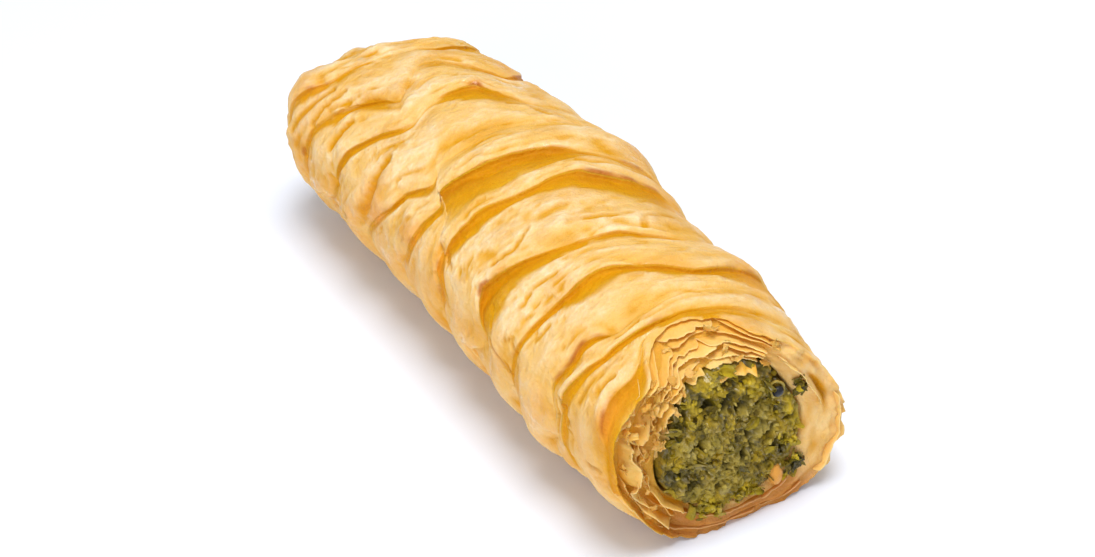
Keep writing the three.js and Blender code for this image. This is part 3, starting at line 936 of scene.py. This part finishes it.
pale = patches(PALE_PATCHES)
relief += patches(SWELLINGS)
crumpled = np.clip(0.35 + 0.8 * pale + 0.5 * near_lip + smoothstep(-45, -60, along), 0, 1.3)
waves = 0.4 * noise(along / 11, arc / 16, 0, 31) + 0.22 * noise(follow / 4.5, arc / 9, 0, 32)
folds = 0.26 * noise(follow / 1.9, arc / 11, 0, 33) * (0.5 + near_lip)
lined = 0.35 + 0.65 * smoothstep(-0.3, 0.5, noise(along / 12, arc / 12, 0, 45))
ridged = smoothstep(-0.2, 0.5, noise(along / 6, arc / 9, 0, 36))
ridges = 0.3 * thin_lines(follow / 4.2, arc / 13, 34, 0.2) * ridged
creases = -0.3 * thin_lines(follow / 5.2, arc / 15, 37, 0.13)
crackle = 0.2 * (0.5 - np.abs(layered(follow / 1.5, arc / 3.0, 39, 2))) * crumpled
blisters = 0.2 * smoothstep(0.2, 0.7, noise(along / 3.1, arc / 3.6, 0, 35)) * crumpled
fine_relief = ((folds + ridges + creases) * lined + crackle) * (1 - leaning) + blisters
low_near = smoothstep(62, 85, shown_angle)
ruffles = (belly + 0.3 * near_lip * (relief < 0)) * (1 + 0.9 * low_near)
relief += waves + fine_relief + ruffles - 0.35 - 1.5 * low_near

# The outer sheet's free edge lies on the layer under it, and towards the closed end it has baked on to it.
baked_on = smoothstep(-3, -7, along)
held = 0.88 + 0.12 * baked_on
beside_seam = hill(from_seam, 5)
slide *= 1 - beside_seam * baked_on
relief += (relief[:, [0]] / 2 + relief[:, [-1]] / 2 - relief) * beside_seam * held
over_edge = hill(360 - turn, 3.5)
thinned = smoothstep(5, 0, 360 - turn) * (0.35 + 0.65 * held)
spiral = SHEET_STEP * (turn / 360 * (1 - thinned) - 0.5)
offset = spiral + relief * from_floor + bulge_at(along, shown_angle)

# The closed end curves in over a quarter turn, gathered into tucks.
sweep = np.clip((END_START - along) / END_ROUNDING, 0, math.pi / 2)
narrowing = np.cos(sweep) ** 0.85
gathers = np.sin(np.radians(angle) * 8 + 2.6 * noise(arc / 9, 0, 0, 41)) + noise(arc / 3.5, along / 8, 0, 44)
tucks = gathers * np.sin(sweep) ** 1.5 * narrowing
offset += tucks
radial = offset * np.cos(sweep)
ragged_edge = 1.3 * noise(along / 2.6, 0, 0, 42) + 0.7 * noise(along / 0.9, 0, 0, 43)
theta = np.radians(angle + ragged_edge * beside_seam)
half_height = np.where(np.cos(theta) > 0, HEIGHT_ABOVE_CENTRE, HEIGHT_BELOW_CENTRE)
skin_x = np.where(along < END_START, END_START - END_ROUNDING * np.sin(sweep), along) + slide * np.cos(sweep)
skin_x -= offset * np.sin(sweep) * 0.6
end_lean = sum(reach * hill(shown_angle - middle, spread) for middle, spread, reach in LEAN)
skin_x += end_lean * smoothstep(-48, -66, along) * narrowing
skin_y = CENTRE_SIDE - (HALF_WIDTH * narrowing + radial) * np.sin(theta)
skin_z = CENTRE_HEIGHT + (half_height * narrowing + radial) * np.cos(theta)
flattened = LOWEST_CURVE * np.exp(np.minimum(skin_z - LOWEST_CURVE, 0) / LOWEST_CURVE)
skin_z = np.where(skin_z < LOWEST_CURVE, flattened, skin_z)
skin = np.stack([skin_x, skin_y, skin_z], axis=-1)
skin += (evened(skin, SMOOTHING_REACH) - skin) * (baked_on * hill(from_seam, 4))[..., None]

# The rim: a thin edge, then the wall's cut, where the sheets are pressed together. The loose sheets below
# stand out of it. On the far side a slit has opened between two of them.
SLIT_ANGLE, SLIT_SHARE = -83, 0.4
HOLLOW_RINGS = (58, 50, 20, -20, -50, filling_low[0] - 0.3)
HOLLOW_END_SIZE = 0.6
CUT_ROWS = 22
RIM_END_X = 70
mouth_angle = seam_angle(RIM_END_X) + turns * (SKIN_COLUMNS - 1) / SKIN_COLUMNS
mouth_shown = shown(mouth_angle)
round_rim = mouth_shown * ARC
pressed = smoothstep(-22, -45, mouth_shown) + smoothstep(138, 155, mouth_shown)
hollow = []
for inner_x in (cut_x(mouth_shown, 0) - 2.5, *HOLLOW_RINGS):
    across, up = hollow_outline(mouth_angle, inner_x)
    shrink = HOLLOW_END_SIZE if np.max(inner_x) < HOLLOW_RINGS[-2] else 1.0
    y, z = HOLLOW_Y + across * shrink, HOLLOW_Z + up * shrink
    hollow.append(np.stack([inner_x + 0 * across, y, z], axis=-1))


def near_slit(spread):
    """1 at the slit, falling off round the rim over some degrees."""
    return np.exp(-(np.abs((mouth_shown - SLIT_ANGLE) / spread) ** 3))


edge = skin[-1]
slope = []
for share in np.linspace(0.02, 0.96, CUT_ROWS):
    ring = edge + (hollow[0] - edge) * share
    streaks = 0.35 * noise(share * 4, round_rim / 9, 0, 61) + 0.2 * noise(share * 9, round_rim / 5, 0, 62)
    plain_x = cut_x(mouth_shown, 1 - share) + (edge[:, 0] - cut_x(mouth_shown, 1)) * (1 - share) ** 3
    slit = 1.6 * hill(share - SLIT_SHARE, 0.06) * near_slit(14)
    ring[:, 0] = plain_x + streaks - slit - (0.7 + 1.3 * (1 - pressed)) * smoothstep(0, 0.12, share)
    slope.append(ring)
rings = np.concatenate([skin, np.array(slope), np.array(hollow)])


def with_inside(values, cut=0.0):
    """The skin's values, then the ones on the cut of the wall, and nothing in the hollow."""
    cut_rows = np.broadcast_to(cut, (len(slope), SKIN_COLUMNS))
    return np.concatenate([values, cut_rows, np.zeros((len(hollow), SKIN_COLUMNS))])


# The crust's colours follow the shape. Pale where the sheet stands up is painted light, amber where it lies
# deep is painted shade and painted light seen through the sheet, and brown where it lay on the tray is the
# bake's.
scorched = smoothstep(4.5, 0.4, skin_z + 1.5 * noise(along / 5, arc / 5, 0, 55))
hollowness = softened(relief, SMOOTHING_REACH) - relief
lit_hollows = 0.8 * smoothstep(0.03, 0.35, hollowness)
mottled = layered(follow / 5, arc / 8, 51, 2)
# Amber: the valleys and the creases (hollowness) are painted shade and painted light seen through the sheet;
# the amber patches and the cloudy noise are the crust's own buttery tone.
amber = np.clip(valley, 0, 1) + patches(AMBER_PATCHES) * (0.8 + 0.4 * mottled)
amber += 0.75 * smoothstep(0.03, 0.25, hollowness)
amber += 0.4 * smoothstep(0.1, 0.7, layered(along / 7, arc / 9, 54, 2))
# Low on the near side the crust is painted more orange and less pale.
toasted = patches(TOASTED_PATCHES) * (0.8 + 0.5 * mottled) + 0.3 * low_near * (1 + mottled)
# Paler on the raised parts and never pale in the hollows: painted light and painted shade. Paler still low on
# the near side, from 84 to 98 degrees: painted light from below. The pale patches, the outer sheet's free
# edge and the bared layer are the crust's own paler tone.
paleness = 0.1 + 0.7 * pale * (0.9 + 0.5 * mottled) + 0.6 * smoothstep(0.05, -0.3, hollowness)
paleness = (paleness + 0.35 * mottled) * smoothstep(0.12, -0.03, hollowness) + 0.35 * over_edge
bared = smoothstep(70, 5, turn) * smoothstep(4, -8, along)
paleness = (paleness + 0.3 * bared * (1 + mottled)) * (1 - 0.4 * low_near)
paleness += 0.15 * smoothstep(84, 98, shown_angle)
cut_share = np.linspace(0, 1, len(slope))[:, None]
# The slit and the cut under the loose sheets are painted amber: painted shade between the sheets. On the
# pressed side the amber is patchy tone from noise.
cut_amber = hill(cut_share - SLIT_SHARE, 0.09) * near_slit(15) + 0.5 * (1 - pressed)
cut_amber += pressed * np.clip(0.2 + 0.7 * noise(cut_share * 5, round_rim / 6, 0, 71), 0, 1)
under_cut = 0.9 * smoothstep(128, 150, np.abs(mouth_shown)) * smoothstep(1.1, 0.5, cut_share)
pastry = closed_tube(
    "pastry_skin",
    rings,
    amber=with_inside(np.clip(amber * from_floor, 0, 1), np.clip(cut_amber, 0, 1)),
    browned=with_inside(np.clip(browned * from_floor, 0, 1)),
    # painted glow: the valleys just past the lips, the hollows and the cut under the loose sheets give off
    # faint light, as if lit through the sheet
    glow=with_inside(np.clip((0.5 * lit_through + lit_hollows) * from_floor, 0, 1), 0.4 * (1 - pressed)),
    under_lip=with_inside(np.clip(under_lip * (0.75 + 0.6 * mottled) * from_floor, 0, 1)),
    far_from_lip=with_inside(np.clip(far_from_lip * (0.8 + 0.6 * mottled), 0, 1)),
    pale=with_inside(np.clip(paleness, 0, 1), 0.45 * pressed),
    toasted=with_inside(np.clip(toasted, 0, 1)),
    underside=with_inside(scorched, under_cut),
)
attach(pastry, "root")
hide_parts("pastry")

crust = Paint("baked_crust")
cloud = crust.grain(110, 3, 0.5)
fine = crust.grain(520, 4, 0.6, (1.4, 1, 1))
golden = crust.mix(crust.band(cloud, 0.35, 0.65), (0.81, 0.485, 0.13), (0.78, 0.425, 0.08))
peachy = crust.mix(crust.band(fine, 0.3, 0.72), (0.84, 0.555, 0.24), (0.87, 0.69, 0.41))
golden = crust.stained(
    golden,
    # pale: the crust's own paler patches, with painted light on the raised parts and low on the near side
    ("pale", 1.0, peachy),
    # amber: painted shade in the valleys and creases, and the crust's own buttery patches
    ("amber", 0.97, (0.61, 0.265, 0.0)),
    # far_from_lip and the lip's mark: painted light and painted shade across each valley
    ("far_from_lip", 0.6, (0.70, 0.40, 0.02)),
    ("under_lip", 0.7, (0.46, 0.145, 0.0)),
    ("toasted", 0.75, (0.78, 0.32, 0.045)),
    ("underside", 0.9, (0.45, 0.15, 0.02)),
    ("browned", fine * 0.6 + 0.65, (0.42, 0.12, 0.01)),
)
# A faint orange emission where the glow mark is: painted light, as if seen through the thin sheet.
glow = crust.mix(crust.attribute("glow"), (0, 0, 0), (0.12, 0.06, 0))
buttered = crust.band(crust.grain(260, 4, 0.6), 0.52, 0.68) * 0.65 * (1 - crust.attribute("amber"))
wrinkled = crust.grain(330, 4, 0.55, (1.8, 0.8, 0.8), "RIDGED_MULTIFRACTAL")
roughened = wrinkled * 0.45 + fine * 0.8 + crust.grain(1500, 3, 0.6) * 0.35
crust.surface(Base_Color=golden, Roughness=crust.band(cloud, 0.3, 0.7) * 0.2 + 0.4, Specular_IOR_Level=0.1)
crust.surface(Coat_Weight=buttered, Coat_Roughness=0.13, Emission_Color=glow, Emission_Strength=1.0)
crust.surface(Normal=crust.bump(roughened, 0.0007, 0.9))
crust.lit_inside(0.4, (0.0016, 0.0012, 0.0005))
pastry.data.materials.append(crust.material)

# ------------------------------------------------------------------------------------------ torn sheets
# The sheets inside the wall are as thin as paper. Cutting tore them into flakes: over the top they step
# back like terraces, on the near side they stand on edge and curl, and on the far side they lie smoothly
# together. Small scraps have broken off and lie between them.

FLAKE_STEP = 0.28
FLAKE_THICKNESS = 0.11
FLAKE_LIMIT_X = 71.6
FLAKE_LOWEST = 0.4
WALL_RADIUS = 18  # halfway through the wall, from the roll's middle
WALL_THICKNESS = 7
SCRAPS = 66
SCRAP_LENGTHS = (0.3, 1.1)
SCRAP_THICKNESS = 0.1


def thick_sheet(name, places, thickness, **attributes):
    """A closed thin sheet whose middle runs through a grid of places."""
    piece, row, column = laid_grid(name, places)
    for key, values in attributes.items():
        mark(piece, key, values[row, column])
    thicken(piece, thickness * MM)
    bpy.ops.object.mode_set(mode="EDIT")
    bpy.ops.mesh.select_all(action="SELECT")
    bpy.ops.mesh.normals_make_consistent()
    bpy.ops.object.mode_set(mode="OBJECT")
    smooth_and_release()
    return piece


def wall_place(angle, outward):
    """A place across the wall, y and z: outward is 0 at the filling and 1 at the skin."""
    across, up = hollow_outline(angle, MOUTH_X)
    rim_angles = (seam_angle(edge[:, 0]) + turns) % 360
    order = np.argsort(rim_angles)
    rim_y = np.interp(angle % 360, rim_angles[order], edge[order, 1], period=360)
    rim_z = np.interp(angle % 360, rim_angles[order], edge[order, 2], period=360)
    y = HOLLOW_Y + across + (rim_y - HOLLOW_Y - across) * outward
    z = HOLLOW_Z + up + (rim_z - HOLLOW_Z - up) * outward
    return y, z


def flake(chance, span, outward, shift, length, lift, wave, jag, **marks):
    """A piece of one sheet between two angles, torn at its free edge and its sides."""
    width = (span[1] - span[0]) * WALL_RADIUS * math.pi / 180
    columns, rows = max(6, round(width / FLAKE_STEP)), max(6, round(length / FLAKE_STEP))
    run = np.linspace(0, width, columns)
    corners = np.append(np.cumsum(chance.uniform(0.7, 3.2, 2 * columns)) - 1, width + 2)
    jagged = np.interp(run, corners, jag * chance.uniform(-1, 1, len(corners)))
    jagged += 0.15 * jag * chance.uniform(-1, 1, columns)
    side = np.minimum(run, width - run)
    reach = length * smoothstep(-0.3, 1.1 + 0.5 * jag, side) + jagged
    angle = span[0] + (span[1] - span[0]) * run / width
    share = np.linspace(0, 1, rows)[:, None]
    x = cut_x(angle, outward) + shift - length + np.maximum(reach, 0.3) * share
    x = np.minimum(x, FLAKE_LIMIT_X)
    offset = lift * share**2 + wave * share * noise(run / 4.2, share * length / 4, chance.uniform(0, 99), 67)
    offset = offset + 0.12 * noise(run / 0.9, share * length / 1.5, chance.uniform(0, 99), 68)
    y, z = wall_place(angle + 0 * x, np.clip(outward + offset / WALL_THICKNESS, -0.7, 1.04))
    marks = {
        "torn": smoothstep(0.55, 0.0, reach * (1 - share)),
        # deep: away from the torn edge, where the flake runs in among the others, it is painted amber:
        # painted shade.
        "deep": smoothstep(1.2, 3.6, reach * (1 - share)),
        "tint": chance.uniform(0, 1),
        **marks,
    }
    marks = {key: np.clip(values + 0 * y, 0, 1) for key, values in marks.items()}
    places = np.stack([x, y, np.maximum(z, FLAKE_LOWEST)], axis=-1)
    return thick_sheet("flake", places, FLAKE_THICKNESS, **marks)


TOP_LAYERS = (0.06, 0.22, 0.38, 0.54, 0.68, 0.84)
# Groups of flakes: the angles they stand between, their layers of the wall, from 0 at the filling to 1 at
# the skin, the ranges of their widths in degrees and of their lengths, lifts and reach past the cut, their
# wave, and how jagged they are.
FLAKE_GROUPS = [
    ((-34, 40), TOP_LAYERS, (18, 50), (3.2, 5.5), (-0.45, 0.15), (-0.8, 1.0), 0.7, 0.9),
    ((-36, 6), (0.03,), (40, 42), (5.2, 5.6), (-3.4, -3.0), (1.1, 1.3), 0.5, 0.8),
    ((34, 60), (0.08, 0.2), (8, 13), (1.6, 2.4), (-0.5, 1.0), (-0.2, 0.6), 0.8, 0.9),
    ((40, 140), (0.1, 0.32, 0.56, 0.8), (14, 36), (3.0, 4.5), (-1.3, 1.2), (-0.9, 1.4), 1.3, 1.0),
    ((-92, -40), (0.5,), (50, 60), (4, 4.5), (-0.5, -0.4), (0.6, 0.8), 0.4, 0.25),
    ((-140, -94), (0.8,), (40, 50), (4, 4.5), (0.2, 0.4), (0.3, 0.6), 0.4, 0.3),
    ((140, 216), (0.3, 0.75), (20, 40), (3, 4.0), (-0.3, 0.3), (-0.5, 0.6), 0.4, 0.35),
]
# The look of each group: how strongly it has each mark.
FLAKE_MARKS = [
    {"cream": 0.08},
    {"deep": 0.8},
    {"cream": 0.1, "tanned": 0.9},
    {"tanned": 0.3},
    {"smooth": 0.8},
    {"smooth": 0.8},
    {"bottom": 0.9},
]


def flakes_round(chance, angles, layers, widths, lengths, lifts, past_cut, wave, jag, **marks):
    """Flakes side by side, overlapping a little, in each of some layers of the wall."""
    start, stop = angles
    made = []
    for layer in layers:
        angle = start + chance.uniform(-4, 4)
        while angle < stop:
            width = chance.uniform(*widths)
            outward = max(0.0, layer + chance.uniform(-0.04, 0.04))
            shift = chance.uniform(*past_cut)
            span = (angle, min(angle + width, stop + 5))
            if span[1] - span[0] > 4:
                lift, length = chance.uniform(*lifts), chance.uniform(*lengths)
                made.append(flake(chance, span, outward, shift, length, lift, wave, jag, **marks))
            angle += width * chance.uniform(0.7, 0.95)
    return made


chance = np.random.default_rng(5)
pieces = []
for group, marks in zip(FLAKE_GROUPS, FLAKE_MARKS):
    pieces += flakes_round(chance, *group, **marks)

# The scraps: a third of them lie in a cluster on the near shoulder, where the wall crumbled.
bpy.ops.mesh.primitive_grid_add(x_subdivisions=6, y_subdivisions=5, size=2)
scraps = bpy.context.object
thicken(scraps, SCRAP_THICKNESS)
flat = many(scraps, SCRAPS)
clustered = SCRAPS // 3
angle = np.append(chance.normal(46, 12, clustered), chance.uniform(-34, 128, SCRAPS - clustered))
outward = chance.uniform(0.03, 0.9, SCRAPS)
x = cut_x(angle, outward) + chance.uniform(-0.6, 0.6, SCRAPS)
y, z = wall_place(angle, outward)
away_from_roll = np.stack([0 * angle, -np.sin(np.radians(angle)), np.cos(np.radians(angle))], axis=-1)
length = chance.uniform(*SCRAP_LENGTHS, SCRAPS)[:, None]
width = length * chance.uniform(0.4, 0.9, (SCRAPS, 1))
numbers = np.arange(SCRAPS)[:, None]
u, v, w = flat[..., 0], flat[..., 1], flat[..., 2]
torn_corners = 1 + 0.6 * noise(u * 1.7, v * 1.7 + numbers * 5, 0, 94)
curl = chance.normal(0, 0.5, (SCRAPS, 1)) * u**2 + 0.4 * noise(u * 1.5, v * 1.5 + numbers * 5, 0, 95)
points = np.stack([u * length * torn_corners, v * width * torn_corners, w + curl * length], axis=-1)
points = points @ facing(chance, SCRAPS, 0.6, away_from_roll)
creamy = chance.uniform(0, 1, SCRAPS) < 0.5
middles = np.stack([x, y, z], axis=-1)
finished_bits(scraps, points + middles[:, None], cream=0.15 * creamy, tanned=0.4 + 0.4 * ~creamy)
pieces.append(scraps)

sheets = joined("torn_sheets", pieces)
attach(sheets, "root")

layers = Paint("inner_layers")
soft = layers.grain(260, 3, 0.55)
flaky = layers.mix(layers.attribute("tint"), (0.71, 0.375, 0.03), (0.79, 0.53, 0.15))
flaky = layers.stained(
    layers.mix(layers.band(soft, 0.45, 0.7) * 0.5, flaky, (0.76, 0.38, 0.05)),
    ("smooth", 0.7, (0.86, 0.60, 0.25)),
    # deep: painted shade
    ("deep", 0.8, (0.70, 0.34, 0.02)),
    ("tanned", 0.75, (0.50, 0.28, 0.075)),
    ("bottom", 0.9, (0.37, 0.105, 0.012)),
    ("cream", 0.8, (0.90, 0.74, 0.50)),
    ("torn", 0.25, (0.92, 0.74, 0.42)),
)
# Painted glow: every flake gives off a faint orange light, stronger where it runs deep, as if lit through the
# sheet.
glow = layers.mix(layers.attribute("deep"), (0.035, 0.014, 0), (0.12, 0.055, 0))
layers.surface(Base_Color=flaky, Roughness=soft * 0.3 + 0.3, Specular_IOR_Level=0.3)
layers.surface(Emission_Color=glow, Emission_Strength=1.0)
layers.surface(Normal=layers.bump(layers.grain(900, 3, 0.6), 0.0004, 0.5))
layers.lit_inside(0.5, (0.0004, 0.00025, 0.00012))
sheets.data.materials.append(layers.material)

# ------------------------------------------------------------------------------------------ stage
# A white sweep under soft lights: a large lamp high above, a little beyond the cut, a second one low in front
# on the cut's side, and faint light from all round. The camera looks down on the near side and the cut.

FLOOR_SIZE = 6
LIT_POINT = Vector((0, 0, 0.02))
LAMP_SIZE_HIGH, LAMP_SIZE_LOW = 0.6, 0.7
CAMERA_PLACE = Vector((0.384, -0.172, 0.287))
CAMERA_TARGET = Vector((0.0055, 0, 0.0135))
UPRIGHT_AZIMUTH, UPRIGHT_ELEVATION = math.radians(52.8), math.radians(34)  # which way is up

bpy.ops.mesh.primitive_plane_add(size=FLOOR_SIZE)
floor = bpy.context.object
floor.name = "floor"
white = Paint("white_floor")
white.surface(Base_Color=(0.845, 0.895, 1.0, 1), Roughness=0.9)
floor.data.materials.append(white.material)

world = bpy.data.worlds.new("studio")
bpy.context.scene.world = world
world.use_nodes = True
sky = world.node_tree.nodes["Background"]
sky.inputs["Color"].default_value = (0.98, 0.99, 1.0, 1)
sky.inputs["Strength"].default_value = 0.43


def soft_lamp(name, place, size, watts):
    bpy.ops.object.light_add(type="AREA", location=place)
    lamp = bpy.context.object
    lamp.name = name
    lamp.data.size = size
    lamp.data.energy = watts
    lamp.rotation_euler = (LIT_POINT - Vector(place)).to_track_quat("-Z", "Y").to_euler()


soft_lamp("key_lamp", (0.18, 0.05, 1.08), LAMP_SIZE_HIGH, 10.2)
soft_lamp("fill_lamp", (0.80, -0.78, 0.34), LAMP_SIZE_LOW, 5.2)

camera_data = bpy.data.cameras.new("camera")
camera = bpy.data.objects.new("camera", camera_data)
bpy.context.scene.collection.objects.link(camera)
bpy.context.scene.camera = camera
level_reach = math.cos(UPRIGHT_ELEVATION)
back = Vector(
    (
        math.sin(UPRIGHT_AZIMUTH) * level_reach,
        -math.cos(UPRIGHT_AZIMUTH) * level_reach,
        math.sin(UPRIGHT_ELEVATION),
    )
)
upright = (-back).to_track_quat("-Z", "Y")
aim = (-back).rotation_difference(CAMERA_TARGET - CAMERA_PLACE)
camera.location = CAMERA_PLACE
camera.rotation_mode = "QUATERNION"
camera.rotation_quaternion = aim @ upright
camera_data.sensor_width = 36
camera_data.lens = 90
camera_data.clip_start, camera_data.clip_end = 0.01, 20
bpy.context.scene.view_settings.view_transform = "Standard"
